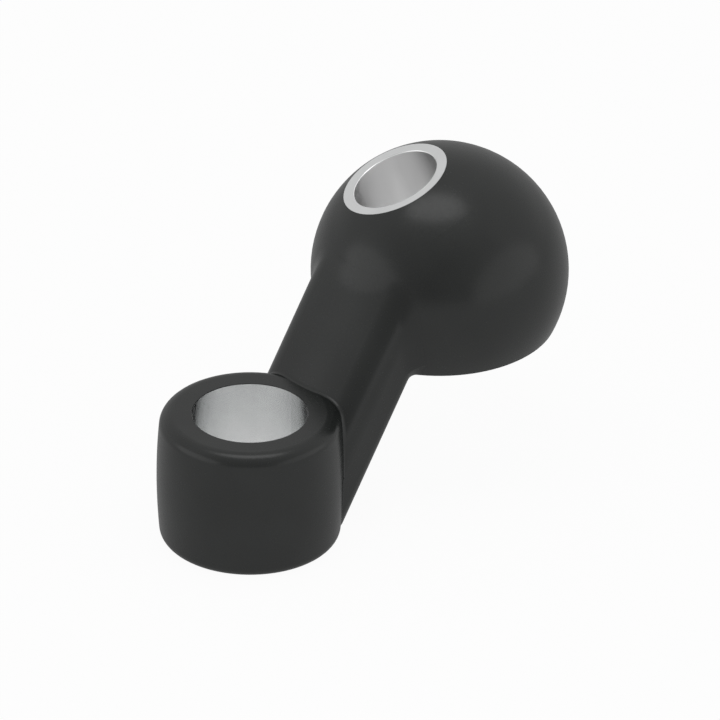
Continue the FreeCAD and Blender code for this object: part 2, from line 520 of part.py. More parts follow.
# Seat of the boss bush: the lips over its ends, its grip grooves and its bore.
boss_seat = new_sketch(link, "boss_seat_section", "XZ_Plane")
profile(boss_seat, [
    ("axis", "cut_low"), ("bush_lip_bore", "cut_low"),
    ("bush_lip_bore", "bush_low"), ("bush_outer", "bush_low_rim"),
    ("bush_outer", "grip_low_foot"), ("bush_groove_floor", "grip_low_foot"),
    ("bush_groove_floor", "grip_low_top"), ("bush_outer", "grip_low_top"),
    ("bush_outer", "grip_high_foot"), ("bush_groove_floor", "grip_high_foot"),
    ("bush_groove_floor", "grip_high_top"), ("bush_outer", "grip_high_top"),
    ("bush_outer", "bush_high_rim"), ("bush_lip_bore", "bush_high"),
    ("bush_lip_bore", "boss_cut_high"), ("axis", "boss_cut_high")])
turned(link, boss_seat, "PartDesign::Groove", "boss_seat")
doc.recompute()

# Pocket of the bearing, drawn on the leaned axes and cut in from the top.
bearing_axes = link.newObject("PartDesign::CoordinateSystem", "bearing_axes")
bearing_axes.AttachmentSupport = (plane(link, "XY_Plane"), [""])
bearing_axes.MapMode = "FlatFace"
bearing_axes.setExpression(".AttachmentOffset.Base.x", "Sizes.head_reach")
bearing_axes.setExpression(".AttachmentOffset.Base.z", "Sizes.head_rise")
bearing_axes.setExpression(".AttachmentOffset.Rotation.Axis.x", "Sizes.lean_axis_x")
bearing_axes.setExpression(".AttachmentOffset.Rotation.Axis.y", "Sizes.lean_axis_y")
bearing_axes.setExpression(".AttachmentOffset.Rotation.Axis.z", "0")
bearing_axes.setExpression(".AttachmentOffset.Rotation.Angle", "Sizes.lean_deg")
doc.recompute()
pocket_sketch = link.newObject("Sketcher::SketchObject", "pocket_section")
pocket_sketch.AttachmentSupport = (bearing_axes, [""])
pocket_sketch.MapMode = "ObjectXZ"
doc.recompute()
profile(pocket_sketch, [
    ("axis", "window_low"), ("window_radius", "window_low"),
    ("window_radius", "pocket_floor"), ("shell_bore", "pocket_floor"),
    ("shell_bore", "shell_low"), ("shell_outer", "shell_low"),
    ("shell_outer", "pocket_high"), ("axis", "pocket_high")])
turned(link, pocket_sketch, "PartDesign::Groove", "bearing_pocket")
link.setExpression(".Placement.Base.z", "Sizes.frame_drop")
doc.recompute()

# ---------------------------------------------------------------- boss bush
ring("boss_bush", [
    ("bush_bore", "bush_low"), ("bush_outer", "bush_low_rim"),
    ("bush_outer", "grip_low_foot"), ("bush_groove_floor", "grip_low_foot"),
    ("bush_groove_floor", "grip_low_top"), ("bush_outer", "grip_low_top"),
    ("bush_outer", "grip_high_foot"), ("bush_groove_floor", "grip_high_foot"),
    ("bush_groove_floor", "grip_high_top"), ("bush_outer", "grip_high_top"),
    ("bush_outer", "bush_high_rim"), ("bush_bore", "bush_high")], leaned=False)

# ---------------------------------------------------------------- bearing shell and stack
ring("bearing_shell", [
    ("shell_bore", "shell_low"), ("shell_outer", "shell_low"),
    ("shell_outer", "shell_top"), ("shell_bore_chamfer", "shell_top"),
    ("shell_bore", "shell_top_chamfer"), ("shell_bore", "circlip_groove_top"),
    ("circlip_groove", "circlip_groove_top"), ("circlip_groove", "circlip_groove_low"),
    ("shell_bore", "circlip_groove_low")])

ring("lower_wiper", [
    ("wiper_inner", "pocket_floor"), ("stack_outer", "pocket_floor"),
    ("stack_outer", "wiper_top"), ("wiper_inner", "wiper_top")])

ring("lower_seat", [
    (None, "wiper_top"), ("stack_outer", "wiper_top"),
    ("stack_outer", "lower_seat_top"), (None, "lower_seat_top")],
    {3: "seat_sphere"})

ring("upper_seat", [
    (None, "upper_seat_low"), ("stack_outer", "upper_seat_low"),
    ("stack_outer", "upper_seat_top"), ("upper_seat_mouth", "upper_seat_top"),
    (None, "upper_seat_edge")], {4: "seat_sphere"})

ring("backing_washer", [
    ("backing_inner", "backing_low"), ("stack_outer", "backing_low"),
    ("stack_outer", "backing_top"), ("backing_inner", "backing_top")])

# The retaining ring in the shell is open over a small gap, as a sprung ring is.
shell_clip = ring("shell_circlip", [
    ("circlip_inner", "circlip_low"), ("circlip_outer", "circlip_low"),
    ("circlip_outer", "circlip_top"), ("circlip_inner", "circlip_top")])


def open_gap(body, name, inner, outer, low_face, high_face, width):
    """Cut the gap of a sprung ring, on the +X side of the ring."""
    sketch = new_sketch(body, name + "_section", "XY_Plane")
    sketch.setExpression(".AttachmentOffset.Base.z", "Sizes." + low_face)
    margin, wide = size("gap_margin"), size(width) / 2
    reach_in, reach_out = size(inner) - margin, size(outer) + margin
    points = [(reach_in, -wide), (reach_out, -wide), (reach_out, wide), (reach_in, wide)]
    for number, start in enumerate(points):
        end = points[(number + 1) % 4]
        sketch.addGeometry(Part.LineSegment(
            FreeCAD.Vector(start[0], start[1], 0), FreeCAD.Vector(end[0], end[1], 0)))
    for number in range(4):
        sketch.addConstraint(Sketcher.Constraint("Coincident", number, 2, (number + 1) % 4, 1))
    for number, kind in [(0, "Horizontal"), (2, "Horizontal"), (3, "Vertical")]:
        sketch.addConstraint(Sketcher.Constraint(kind, number))
    sketch.addConstraint(Sketcher.Constraint("Symmetric", 1, 1, 1, 2, -1))
    bind(sketch, "DistanceY", (1, 1, 1, 2), width)
    near = sketch.addConstraint(Sketcher.Constraint("DistanceX", -1, 1, 0, 1, reach_in))
    sketch.setExpression("Constraints[%d]" % near, "Sizes.%s - Sizes.gap_margin" % inner)
    far = sketch.addConstraint(Sketcher.Constraint("DistanceX", -1, 1, 0, 2, reach_out))
    sketch.setExpression("Constraints[%d]" % far, "Sizes.%s + Sizes.gap_margin" % outer)
    cut = body.newObject("PartDesign::Pocket", name)
    cut.Profile = sketch
    cut.setExpression("Length", "Sizes.%s - Sizes.%s + Sizes.gap_margin" % (high_face, low_face))
    cut.Reversed = True
    sketch.Visibility = False
    doc.recompute()


open_gap(shell_clip, "circlip_gap", "circlip_inner", "circlip_outer", "circlip_low", "circlip_top", "circlip_opening")

# The wave spring is a flat strip bent into waves round its ring.
spring = doc.addObject("Part::Feature", "preload_spring")
spring.Label = "preload_spring"


def wave_spring():
    """A ring of thin strip whose height is a cosine of the turn, three waves a turn."""
    steps = 72
    inside, outside = size("spring_inner"), size("spring_outer")
    thick = size("spring_thickness")
    swell = (size("spring_height") - thick) / 2
    base = size("spring_low") + swell
    waves = size("spring_waves")
    rails = []
    for radius, lift in [(inside, 0.0), (outside, 0.0), (outside, thick), (inside, thick)]:
        points = []
        for step in range(steps):
            turn = 2 * math.pi * step / steps
            height = base + swell * math.cos(waves * turn) + lift
            points.append(FreeCAD.Vector(radius * math.cos(turn), radius * math.sin(turn), height))
        curve = Part.BSplineCurve()
        curve.interpolate(Points=points, PeriodicFlag=True)
        rails.append(curve.toShape())
    faces = []
    for number in range(4):
        faces.append(Part.makeRuledSurface(rails[number], rails[(number + 1) % 4]))
    shell = Part.makeShell(faces)
    shell.sewShape()
    solid = Part.makeSolid(shell)
    if solid.Volume < 0:
        solid.reverse()
    return solid


spring.Shape = wave_spring()
stand_in_head(spring)

# ---------------------------------------------------------------- boot
ring("dust_boot", [
    ("boot_lip_bore", "boot_lip_low"), ("boot_lip_recess", "boot_lip_low"),
    ("boot_lip_recess", "boot_lip_seat"), ("boot_lip_outer", "boot_lip_seat"),
    ("boot_bead_inner", "boot_skin_start"), ("boot_bead_inner", "boot_bead_low"),
    ("boot_bead_outer", "boot_bead_low"), ("boot_bead_outer", "boot_rim_seat"),
    ("boot_rim", "boot_rim_seat"), ("boot_rim", None), ("boot_lip_bore", None)],
    {9: "head_radius"})

ring("boot_band", [
    ("band_inner", "band_low"), ("band_outer", "band_low"),
    ("band_outer", "band_top"), ("band_inner", "band_top")])

ring("boot_lip_ring", [
    ("ball_bore", "lip_ring_low"), ("lip_ring_outer", "lip_ring_low"),
    ("lip_ring_outer", "lip_ring_top"), ("ball_bore", "lip_ring_top")])

# ---------------------------------------------------------------- ball
ring("swivel_ball", [
    ("ball_bore", "ball_low"), (None, "ball_low"), (None, "ball_top"),
    ("ball_bore", "ball_top")], {1: "ball_radius"})

ring("ball_liner", [
    ("liner_bore", "ball_low"), ("ball_bore", "ball_low"),
    ("ball_bore", "liner_top"), ("liner_bore", "liner_top")])

ring("lower_thrust_washer", [
    ("washer_inner", "washer_low"), ("washer_outer", "washer_low"),
    ("washer_outer", "ball_low"), ("washer_inner", "ball_low")])

ring("upper_thrust_washer", [
    ("washer_inner", "liner_top"), ("upper_washer_outer", "liner_top"),
    ("upper_washer_outer", "upper_washer_top"), ("washer_inner", "upper_washer_top")])

# ---------------------------------------------------------------- sleeve
ring("pivot_sleeve", [
    ("sleeve_bore", "sleeve_low_chamfer"), ("sleeve_bore_chamfer", "sleeve_low"),
    ("sleeve_low_outer", "sleeve_low"), ("sleeve_outer", "sleeve_low_chamfer"),
    ("sleeve_outer", "sleeve_flange_low"), ("sleeve_flange", "sleeve_flange_low"),
    ("sleeve_flange", "sleeve_flange_top"), ("sleeve_outer", "sleeve_flange_top"),
    ("sleeve_outer", "seal_low_low"), ("seal_groove_floor", "seal_low_low"),
    ("seal_groove_floor", "seal_low_top"), ("sleeve_outer", "seal_low_top"),
    ("sleeve_outer", "seal_high_low"), ("seal_groove_floor", "seal_high_low"),
    ("seal_groove_floor", "seal_high_top"), ("sleeve_outer", "seal_high_top"),
    ("sleeve_outer", "clip_groove_low"), ("clip_groove_floor", "clip_groove_low"),
    ("clip_groove_floor", "clip_groove_high"), ("sleeve_outer", "clip_groove_high"),
    ("sleeve_outer", "sleeve_top"), ("sleeve_bore_chamfer", "sleeve_top"),
    ("sleeve_bore", "sleeve_top_chamfer")])

sleeve_clip = ring("sleeve_clip", [
    ("clip_inner", "clip_low"), ("clip_outer", "clip_low"),
    ("clip_outer", "clip_high"), ("clip_inner", "clip_high")])
open_gap(sleeve_clip, "clip_gap", "clip_inner", "clip_outer", "clip_low", "clip_high", "clip_opening")


def ring_seal(name, middle):
    """A round-section ring seal in its groove on the sleeve."""
    seal = doc.addObject("Part::Torus", name)
    seal.Label = name
    seal.setExpression("Radius1", "Sizes.seal_radius")
    seal.setExpression("Radius2", "Sizes.seal_section")
    lean_sine = "sin(Sizes.lean_deg * 1deg)"
    seal.setExpression(".Placement.Base.x",
                       "Sizes.head_reach + Sizes.%s * Sizes.lean_axis_y * %s" % (middle, lean_sine))
    seal.setExpression(".Placement.Base.y", "-Sizes.%s * Sizes.lean_axis_x * %s" % (middle, lean_sine))
    seal.setExpression(".Placement.Base.z",
                       "Sizes.head_level + Sizes.%s * cos(Sizes.lean_deg * 1deg)" % middle)
    seal.setExpression(".Placement.Rotation.Axis.x", "Sizes.lean_axis_x")
    seal.setExpression(".Placement.Rotation.Axis.y", "Sizes.lean_axis_y")
    seal.setExpression(".Placement.Rotation.Axis.z", "0")
    seal.setExpression(".Placement.Rotation.Angle", "Sizes.lean_deg")
    return seal


ring_seal("upper_ring_seal", "seal_high")
ring_seal("lower_ring_seal", "seal_low")
doc.recompute()

# ---------------------------------------------------------------- check and write
NODES = [
    "link_body", "boss_bush", "bearing_shell", "lower_wiper", "lower_seat", "upper_seat",
    "preload_spring", "backing_washer", "shell_circlip", "dust_boot", "boot_band",
    "boot_lip_ring", "swivel_ball", "ball_liner", "lower_thrust_washer",
    "upper_thrust_washer", "pivot_sleeve", "sleeve_clip", "upper_ring_seal", "lower_ring_seal"]

for item in doc.Objects:
    if "Invalid" in item.State or "Error" in item.State:
        raise RuntimeError("%s did not build: %s" % (item.Name, item.State))

for node in NODES:
    piece = doc.getObject(node)
    shape = piece.Shape
    if shape.isNull() or not shape.isValid() or len(shape.Solids) != 1 or shape.Volume <= 0:
        raise RuntimeError("%s is not one sound solid" % node)
    box = shape.BoundBox
    print("%-20s %9.2f mm3  x %7.2f %7.2f  y %7.2f %7.2f  z %7.2f %7.2f" % (
        node, shape.Volume, box.XMin, box.XMax, box.YMin, box.YMax, box.ZMin, box.ZMax))
    shape.exportStep("parts/%s.step" % node)
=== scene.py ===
import json
import math

import bpy
import numpy as np
from bpy.props import FloatProperty, FloatVectorProperty, IntProperty, PointerProperty
from bpy.types import Operator, Panel, PropertyGroup
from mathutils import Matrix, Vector


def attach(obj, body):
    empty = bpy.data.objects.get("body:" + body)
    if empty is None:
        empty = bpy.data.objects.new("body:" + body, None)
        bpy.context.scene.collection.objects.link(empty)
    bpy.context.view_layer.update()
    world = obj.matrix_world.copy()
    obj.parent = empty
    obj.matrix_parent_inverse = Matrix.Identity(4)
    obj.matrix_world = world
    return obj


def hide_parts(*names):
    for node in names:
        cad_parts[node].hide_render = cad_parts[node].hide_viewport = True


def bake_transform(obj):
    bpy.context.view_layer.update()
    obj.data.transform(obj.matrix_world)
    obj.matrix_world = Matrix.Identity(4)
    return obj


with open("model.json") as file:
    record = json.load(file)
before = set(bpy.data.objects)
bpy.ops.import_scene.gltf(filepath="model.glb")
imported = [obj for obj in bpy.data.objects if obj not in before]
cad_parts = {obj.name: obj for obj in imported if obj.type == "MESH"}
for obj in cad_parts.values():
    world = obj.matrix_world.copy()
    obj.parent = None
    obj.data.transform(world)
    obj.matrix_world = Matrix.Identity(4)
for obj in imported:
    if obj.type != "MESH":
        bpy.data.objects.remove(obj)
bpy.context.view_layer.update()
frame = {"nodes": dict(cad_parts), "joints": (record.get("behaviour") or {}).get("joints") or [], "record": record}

bl_info = {
    "name": "Angled rod end",
    "version": (1, 0, 0),
    "blender": (4, 5, 0),
    "location": "View3D > Sidebar > Rod end",
    "description": "Dresses an angled rod end: moulded link, steel bush, sealed swivel sleeve and "
                   "rubber boot",
    "category": "Object",
}

MM = 0.001
QUARTER = math.pi / 2
TINY = 1e-9                                                  # least length that divides another

# Places and sizes that the frame gives
MOUNTS = {mount["name"]: mount for mount in frame["record"]["mounts"]}
BALL_TILT = next(joint for joint in frame["joints"] if joint["name"] == "ball_tilt")
HEAD_CENTRE = np.array(BALL_TILT["pos_m"])                   # the ball swivels about the head centre
SLEEVE_AXIS = np.array(MOUNTS["sleeve_bore"]["axis"])        # direction of the leaned sleeve
SLEEVE_AXIS = SLEEVE_AXIS / np.linalg.norm(SLEEVE_AXIS)
SLEEVE_BORE = MOUNTS["sleeve_bore"]["dims"]["r_mm"] * MM
BOSS_TOP = MOUNTS["boss_bore"]["dims"]["length_mm"] / 2 * MM
HEAD_FLAT = BOSS_TOP                                         # the flat under the head is level with it

# Sizes of the solid moulding that the blends and the boot meet
HEAD_RADIUS = 17.33 * MM
BOSS_RADIUS = 12.55 * MM                                     # half way up
BOSS_BULGE = 0.49 * MM                                       # how much narrower the boss is at its faces
BOSS_ROUND = 1.9 * MM                                        # round of its upper rim
BOSS_FOOT_ROUND = 1.5 * MM                                   # round of its lower rim
ARM_SLOPE = math.radians(54.05)                              # above the horizontal
ARM_CREST = HEAD_RADIUS - 0.8 * MM                           # head centre to crest, square to the slope
ARM_THICKNESS = 10.3 * MM
ARM_HALF_WIDTH = 9.0 * MM
ARM_CROWN = 26.0 * MM                                        # radius across the top of the arm
ARM_SHOULDER = 4.2 * MM
ARM_CORNER = 2.5 * MM
ARM_ALONG = np.array([math.cos(ARM_SLOPE), 0.0, math.sin(ARM_SLOPE)])
ARM_UP = np.array([-math.sin(ARM_SLOPE), 0.0, math.cos(ARM_SLOPE)])
ACROSS = np.array([0.0, 1.0, 0.0])
FOOT_END = -7.2 * MM                                         # the boss blend stops here, above the foot


def linear(code):
    """Turn an sRGB hex code into linear red, green, blue and alpha."""
    parts = [int(code[place:place + 2], 16) / 255 for place in (1, 3, 5)]
    return tuple(part / 12.92 if part <= 0.04045 else ((part + 0.055) / 1.055) ** 2.4
                 for part in parts) + (1.0,)


WHITE = linear("#ffffff")


# Sizes and colours that a user would change


def colour(name, code, description):
    """A colour that a user may change."""
    return FloatVectorProperty(name=name, description=description, subtype="COLOR", size=3,
                               min=0.0, max=1.0, default=linear(code)[:3])


def length(name, value, description):
    """A length that a user may change."""
    return FloatProperty(name=name, description=description, default=value, min=0.0,
                         subtype="DISTANCE", unit="LENGTH", precision=5)


def factor(name, value, description, top=1.0):
    """A share or strength that a user may change."""
    return FloatProperty(name=name, description=description, default=value, min=0.0, max=top,
                         subtype="FACTOR")


def angle(name, degrees, description):
    """An angle that a user may change."""
    return FloatProperty(name=name, description=description, default=math.radians(degrees),
                         subtype="ANGLE", unit="ROTATION")


class MouldingSettings(PropertyGroup):
    """Colour and finish of the moulded link, and the blends of its arm."""
    base: colour("Nylon", "#1f2120", "Colour of the black nylon moulding")
    shine: factor("Roughness", 0.24, "Roughness of the satin mould finish")
    grain: length("Grain", 0.45 * MM, "Width of one grain of the spark-eroded finish")
    grain_depth: length("Grain depth", 0.006 * MM, "Depth of that grain")
    crest_blend: length("Crest blend", 16.0 * MM, "Radius of the blend from the arm crest to the head")
    side_blend: length("Side blend", 3.8 * MM, "Radius of the blend from the arm sides to the head")
    under_blend: length("Under blend", 0.8 * MM, "Radius of the blend under the head")
    root_blend: length("Root blend", 0.7 * MM, "Radius of the blend from the arm to the boss, at its crest")
    foot_blend: length("Foot blend", 2.0 * MM, "Radius of that blend at the foot of the arm")


class BootSettings(PropertyGroup):
    """Colour, finish and skin of the rubber boot."""
    base: colour("Rubber", "#1f2120", "Colour of the nitrile rubber")
    shine: factor("Roughness", 0.24, "Roughness of the moulded rubber skin")
    skin: length("Skin", 0.5 * MM, "Thickness of the part of the skin that stretches")
    steps: IntProperty(name="Steps", description="Steps round the boot", default=192, min=48, max=512)


class MetalSettings(PropertyGroup):
    """Colours and finishes of the steel and bronze pieces."""
    sleeve: colour("Sleeve steel", "#c7c8c8", "Colour of the turned stainless sleeve")
    sleeve_shine: factor("Sleeve roughness", 0.3, "Roughness of the turned sleeve")
    # Painted light: the bore gets a lighter colour than the sleeve's end, to offset the shade inside it.
    bore: colour("Sleeve bore", "#f6f6f6", "Colour of the bored inside of the sleeve")
    bore_shine: factor("Bore roughness", 0.32, "Roughness of the bored inside of the sleeve")
    bush: colour("Bush steel", "#eaebeb", "Colour of the burnished bush")
    bush_shine: factor("Bush roughness", 0.2, "Roughness of the burnished bush")
    bronze: colour("Bronze", "#b98d56", "Colour of the bearing bronze")


class StageSettings(PropertyGroup):
    """Camera and light."""
    view_width: length("View width", 96.6 * MM, "Width that the camera sees")
    turn: angle("Turn", -45.0, "Heading of the camera")
    rise: angle("Rise", 30.4, "Camera above the horizon")
    sky: factor("Sky", 0.55, "Strength of the even studio light", 2.0)
    room_behind: factor("Room behind", 0.5, "How white the room behind the camera is in reflections")
    floor_in_metal: factor("Floor in metal", 0.75, "Share of the floor's white that metal shows")
    floor_white: factor("Floor white", 0.95, "Share of plain white in the floor as seen")
    top_light: factor("Top light", 0.29, "Strength of the softbox overhead, in watts", 10.0)
    side_light: factor("Side light", 0.34, "Strength of the softboxes at the sides, in watts", 10.0)


# Nodes and materials


def empty_tree(owner):
    """Node tree of a material or a world, with no node in it."""
    owner.use_nodes = True
    owner.node_tree.nodes.clear()
    return owner.node_tree


def fill(tree, node, values=None, feeds=None):
    """Set sockets of a node: values are plain, feeds are linked to other nodes."""
    for socket, value in (values or {}).items():
        node.inputs[socket].default_value = value
    for socket, source in (feeds or {}).items():
        tree.links.new(source, node.inputs[socket])


def add(tree, kind, values=None, feeds=None, **settings):
    """Add one node: settings are its properties, values and feeds its sockets."""
    node = tree.nodes.new(kind)
    for name, value in settings.items():
        setattr(node, name, value)
    fill(tree, node, values, feeds)
    return node


def new_material(name):
    """A material with a principled surface, and its tree."""
    material = bpy.data.materials.new(name)
    tree = empty_tree(material)
    surface = add(tree, "ShaderNodeBsdfPrincipled")
    add(tree, "ShaderNodeOutputMaterial", feeds={"Surface": surface.outputs["BSDF"]})
    return material, tree, surface


def shaded(base, amount):
    """A colour made lighter or darker by a factor, with its alpha."""
    return tuple(part * amount for part in base) + (1.0,)


def blotches(tree, place, size, detail, low, high):
    """Colour that drifts between two shades in soft blotches; low and high are noise level and shade."""
    cloud = add(tree, "ShaderNodeTexNoise", {"Scale": 1 / size, "Detail": detail}, {"Vector": place})
    tone = add(tree, "ShaderNodeValToRGB", feeds={"Fac": cloud.outputs["Fac"]})
    for element, (position, shade) in zip(tone.color_ramp.elements, (low, high)):
        element.position, element.color = position, shade
    return tone.outputs["Color"]


def moulded(name, base, shine, grain, depth, mottle=0.18, skin=0.38):
    """Moulded surface: a matt body under a glossier skin that covers part of it.

    A fine even grain breaks up the highlights of the skin, and a slow mottle varies the colour. The
    body itself mirrors nothing, so it stays as dark as its colour wherever the skin mirrors nothing.
    """
    matt = 0.7                                               # roughness of the body
    skin_ior = 1.75                                          # of the skin, matched to the gloss seen
    smoother, rougher = 0.03, 0.05                           # how far the grain moves its roughness
    mottle_size = 9 * MM
    material, tree, surface = new_material(name)
    place = add(tree, "ShaderNodeTexCoord").outputs["Object"]
    fine = add(tree, "ShaderNodeTexNoise", {"Scale": 1 / grain, "Detail": 2.0, "Roughness": 0.6},
               {"Vector": place}).outputs["Fac"]
    gloss = add(tree, "ShaderNodeMapRange",
                {"From Min": 0.25, "From Max": 0.75, "To Min": shine - smoother, "To Max": shine + rougher},
                {"Value": fine})
    bump = add(tree, "ShaderNodeBump", {"Strength": 1.0, "Distance": depth}, {"Height": fine})
    tone = blotches(tree, place, mottle_size, 2.0, (0.3, shaded(base, 1 - mottle)),
                    (0.7, shaded(base, 1 + mottle)))
    fill(tree, surface,
         {"Specular IOR Level": 0.0, "Roughness": matt, "Coat IOR": skin_ior, "Coat Weight": skin},
         {"Base Color": tone, "Coat Roughness": gloss.outputs["Result"],
          "Normal": bump.outputs["Normal"], "Coat Normal": bump.outputs["Normal"]})
    return material


def turned_metal(name, base, shine, axis=SLEEVE_AXIS, centre=HEAD_CENTRE, depth=0.0012 * MM, spread=0.06,
                 streak=0.6, bore=None):
    """Turned or drawn metal: fine rings round the axis, as a tool or die leaves them.

    The rings are a noise of height along the axis and distance from it, stretched round the turn, and
    they widen its reflections across the rings. Real rings are near 0.1 mm apart, too fine to show, so
    they are drawn coarser. A bore is given as a radius, and the colour and roughness inside it.
    """
    ring_pitch, cloud_size = 0.3 * MM, 4 * MM
    clouded = 0.93                                           # how dark the clouds are beside the rest
    material, tree, surface = new_material(name)
    place = add(tree, "ShaderNodeTexCoord").outputs["Object"]
    away = add(tree, "ShaderNodeVectorMath", {1: tuple(centre)}, {0: place}, operation="SUBTRACT")
    away = away.outputs["Vector"]
    along = add(tree, "ShaderNodeVectorMath", {1: tuple(axis)}, {0: away}, operation="DOT_PRODUCT")
    out = add(tree, "ShaderNodeVectorMath", {1: tuple(axis)}, {0: away}, operation="CROSS_PRODUCT")
    out = out.outputs["Vector"]
    radius = add(tree, "ShaderNodeVectorMath", feeds={0: out}, operation="LENGTH").outputs["Value"]
    spot = add(tree, "ShaderNodeCombineXYZ", feeds={"X": along.outputs["Value"], "Y": radius})
    rings = add(tree, "ShaderNodeTexNoise", {"Scale": 1 / ring_pitch, "Detail": 3.0, "Roughness": 0.65},
                {"Vector": spot.outputs["Vector"]}).outputs["Fac"]
    gloss = add(tree, "ShaderNodeMapRange",
                {"From Min": 0.3, "From Max": 0.7, "To Min": shine - spread / 2, "To Max": shine + spread},
                {"Value": rings})
    rough = gloss.outputs["Result"]
    shade = blotches(tree, place, cloud_size, 3.0, (0.25, shaded(base, clouded)), (0.75, shaded(base, 1)))
    if bore:
        # Sockets 2 and 3 of a Mix node are its two numbers, and 6 and 7 its two colours.
        # The colour inside the bore is painted lighter: painted light that offsets the shade in the bore.
        bore_radius, bore_painted_light_colour, bore_shine = bore
        inside = add(tree, "ShaderNodeMath", {1: bore_radius}, {0: radius}, operation="LESS_THAN")
        inside = inside.outputs["Value"]
        shade = add(tree, "ShaderNodeMix", {7: shaded(bore_painted_light_colour, 1)}, {0: inside, 6: shade},
                    data_type="RGBA").outputs[2]
        rough = add(tree, "ShaderNodeMix", {3: bore_shine}, {0: inside, 2: rough},
                    data_type="FLOAT").outputs[0]
    bump = add(tree, "ShaderNodeBump", {"Strength": 1.0, "Distance": depth}, {"Height": rings})
    facing = add(tree, "ShaderNodeNewGeometry").outputs["Normal"]
    around = add(tree, "ShaderNodeVectorMath", feeds={0: out, 1: facing}, operation="CROSS_PRODUCT")
    fill(tree, surface, {"Metallic": 1.0, "Anisotropic": streak},
         {"Base Color": shade, "Roughness": rough, "Normal": bump.outputs["Normal"],
          "Tangent": around.outputs["Vector"]})
    return material


def dress(material, *nodes):
    """Give CAD nodes or new pieces a material."""
    for node in nodes:
        piece = frame["nodes"].get(node) or bpy.data.objects[node]
        piece.data.materials.clear()
        piece.data.materials.append(material)


# Surfaces


def closed_mesh(name, grid):
    """Mesh of a grid of points whose rows and columns close on themselves, its faces turned outwards.

    Each cell is a quad a, b, c, d. The sum of a . (b x c) + a . (c x d) is six times the volume; where
    it is negative the quads face inwards and are turned over.
    """
    rows, columns = grid.shape[:2]
    points = grid.reshape(-1, 3)
    number = np.arange(rows * columns).reshape(rows, columns)
    number = np.vstack([number, number[:1]])
    number = np.hstack([number, number[:, :1]])
    quads = np.stack([number[:-1, :-1], number[1:, :-1], number[1:, 1:], number[:-1, 1:]], axis=-1)
    quads = quads.reshape(-1, 4)
    a, b, c, d = (points[quads[:, corner]] for corner in range(4))
    if ((a * np.cross(b, c)).sum() + (a * np.cross(c, d)).sum()) < 0:
        quads = quads[:, ::-1]
    mesh = bpy.data.meshes.new(name)
    mesh.from_pydata(points, [], quads.tolist())
    mesh.update()
    return mesh


def show(name, mesh, smooth_angle=math.radians(35.0)):
    """Put a mesh in the scene as a piece, shaded smooth but for its sharp edges."""
    piece = bpy.data.objects.new(name, mesh)
    bpy.context.scene.collection.objects.link(piece)
    mesh.shade_smooth()
    mesh.set_sharp_from_angle(angle=smooth_angle)
    return piece


def spin(profile, steps):
    """Surface of revolution about the sleeve axis through the head centre.

    A point is centre + height * axis + radius * (cos turn * side + sin turn * other side).
    """
    side = np.cross(SLEEVE_AXIS, ACROSS)
    side /= np.linalg.norm(side)
    other = np.cross(SLEEVE_AXIS, side)
    turn = np.arange(steps) * 2 * math.pi / steps
    outwards = np.cos(turn)[:, None] * side + np.sin(turn)[:, None] * other
    radius, height = profile[:, 0], profile[:, 1]
    return HEAD_CENTRE + height[:, None, None] * SLEEVE_AXIS + radius[:, None, None] * outwards[None]


def arc_of_sphere(sphere, start, end, steps):
    """Part of a circle about the head centre, from one radius to another.

    A point is (sphere * sin turn, sphere * cos turn), with turn the angle from the sleeve axis.
    """
    turn = np.linspace(math.asin(start / sphere), math.asin(end / sphere), steps)
    return np.stack([sphere * np.sin(turn), sphere * np.cos(turn)], axis=1)


def boot_section(skin):
    """Section of the boot, as radius from the sleeve axis and height above the head centre.

    It runs over the outside from the rim to the lip, back below the skin that stretches, and down
    round the bead and out over the edge of the shell to the rim.
    """
    outside = HEAD_RADIUS + 0.003 * MM                       # just proud, so it covers the pocket's edge
    rim, lip, lip_outer, lip_low = 12.55 * MM, 7.53 * MM, 8.37 * MM, 14.85 * MM
    skin_start, skin_end = 8.4 * MM, 10.7 * MM
    neck, neck_height = 10.3 * MM, 12.2 * MM
    bead_inner, bead_outer, bead_low = 10.2 * MM, 11.17 * MM, 8.78 * MM
    shell_edge, shell_seat, rim_low = 12.38 * MM, 10.62 * MM, 12.0 * MM
    top = arc_of_sphere(outside, rim, lip, steps=40)
    edge = np.array([[lip, lip_low], [lip_outer, lip_low]])
    below = arc_of_sphere(outside - skin, skin_start, skin_end, steps=16)
    bead = np.array([[neck, neck_height], [bead_inner, bead_low], [bead_outer, bead_low],
                     [bead_outer, shell_seat], [shell_edge, shell_seat], [shell_edge, rim_low]])
    return np.concatenate([top, edge, below, bead])


def head_nearest(points):
    """Nearest point of the outside of the head, a ball cut flat below, and which points lie inside.

    It is the ball's own point where that lies above the flat, the point straight above on the flat
    where the point is below it, and otherwise the point of the edge between the two.
    """
    drop = HEAD_CENTRE[2] - HEAD_FLAT
    edge = math.sqrt(HEAD_RADIUS ** 2 - drop ** 2)
    away = points - HEAD_CENTRE
    out = np.linalg.norm(away, axis=-1, keepdims=True)
    on_ball = away / out * HEAD_RADIUS
    level, reach = away[..., :2], np.linalg.norm(away[..., :2], axis=-1, keepdims=True)
    floor = np.full_like(reach, -drop)
    on_flat = np.concatenate([level, floor], axis=-1)
    on_edge = np.concatenate([level / np.maximum(reach, TINY) * edge, floor], axis=-1)
    near = np.where(on_ball[..., 2:] >= -drop, on_ball, np.where(reach <= edge, on_flat, on_edge))
    inside = (out < HEAD_RADIUS) & (away[..., 2:] > -drop)
    return near + HEAD_CENTRE, inside[..., 0]


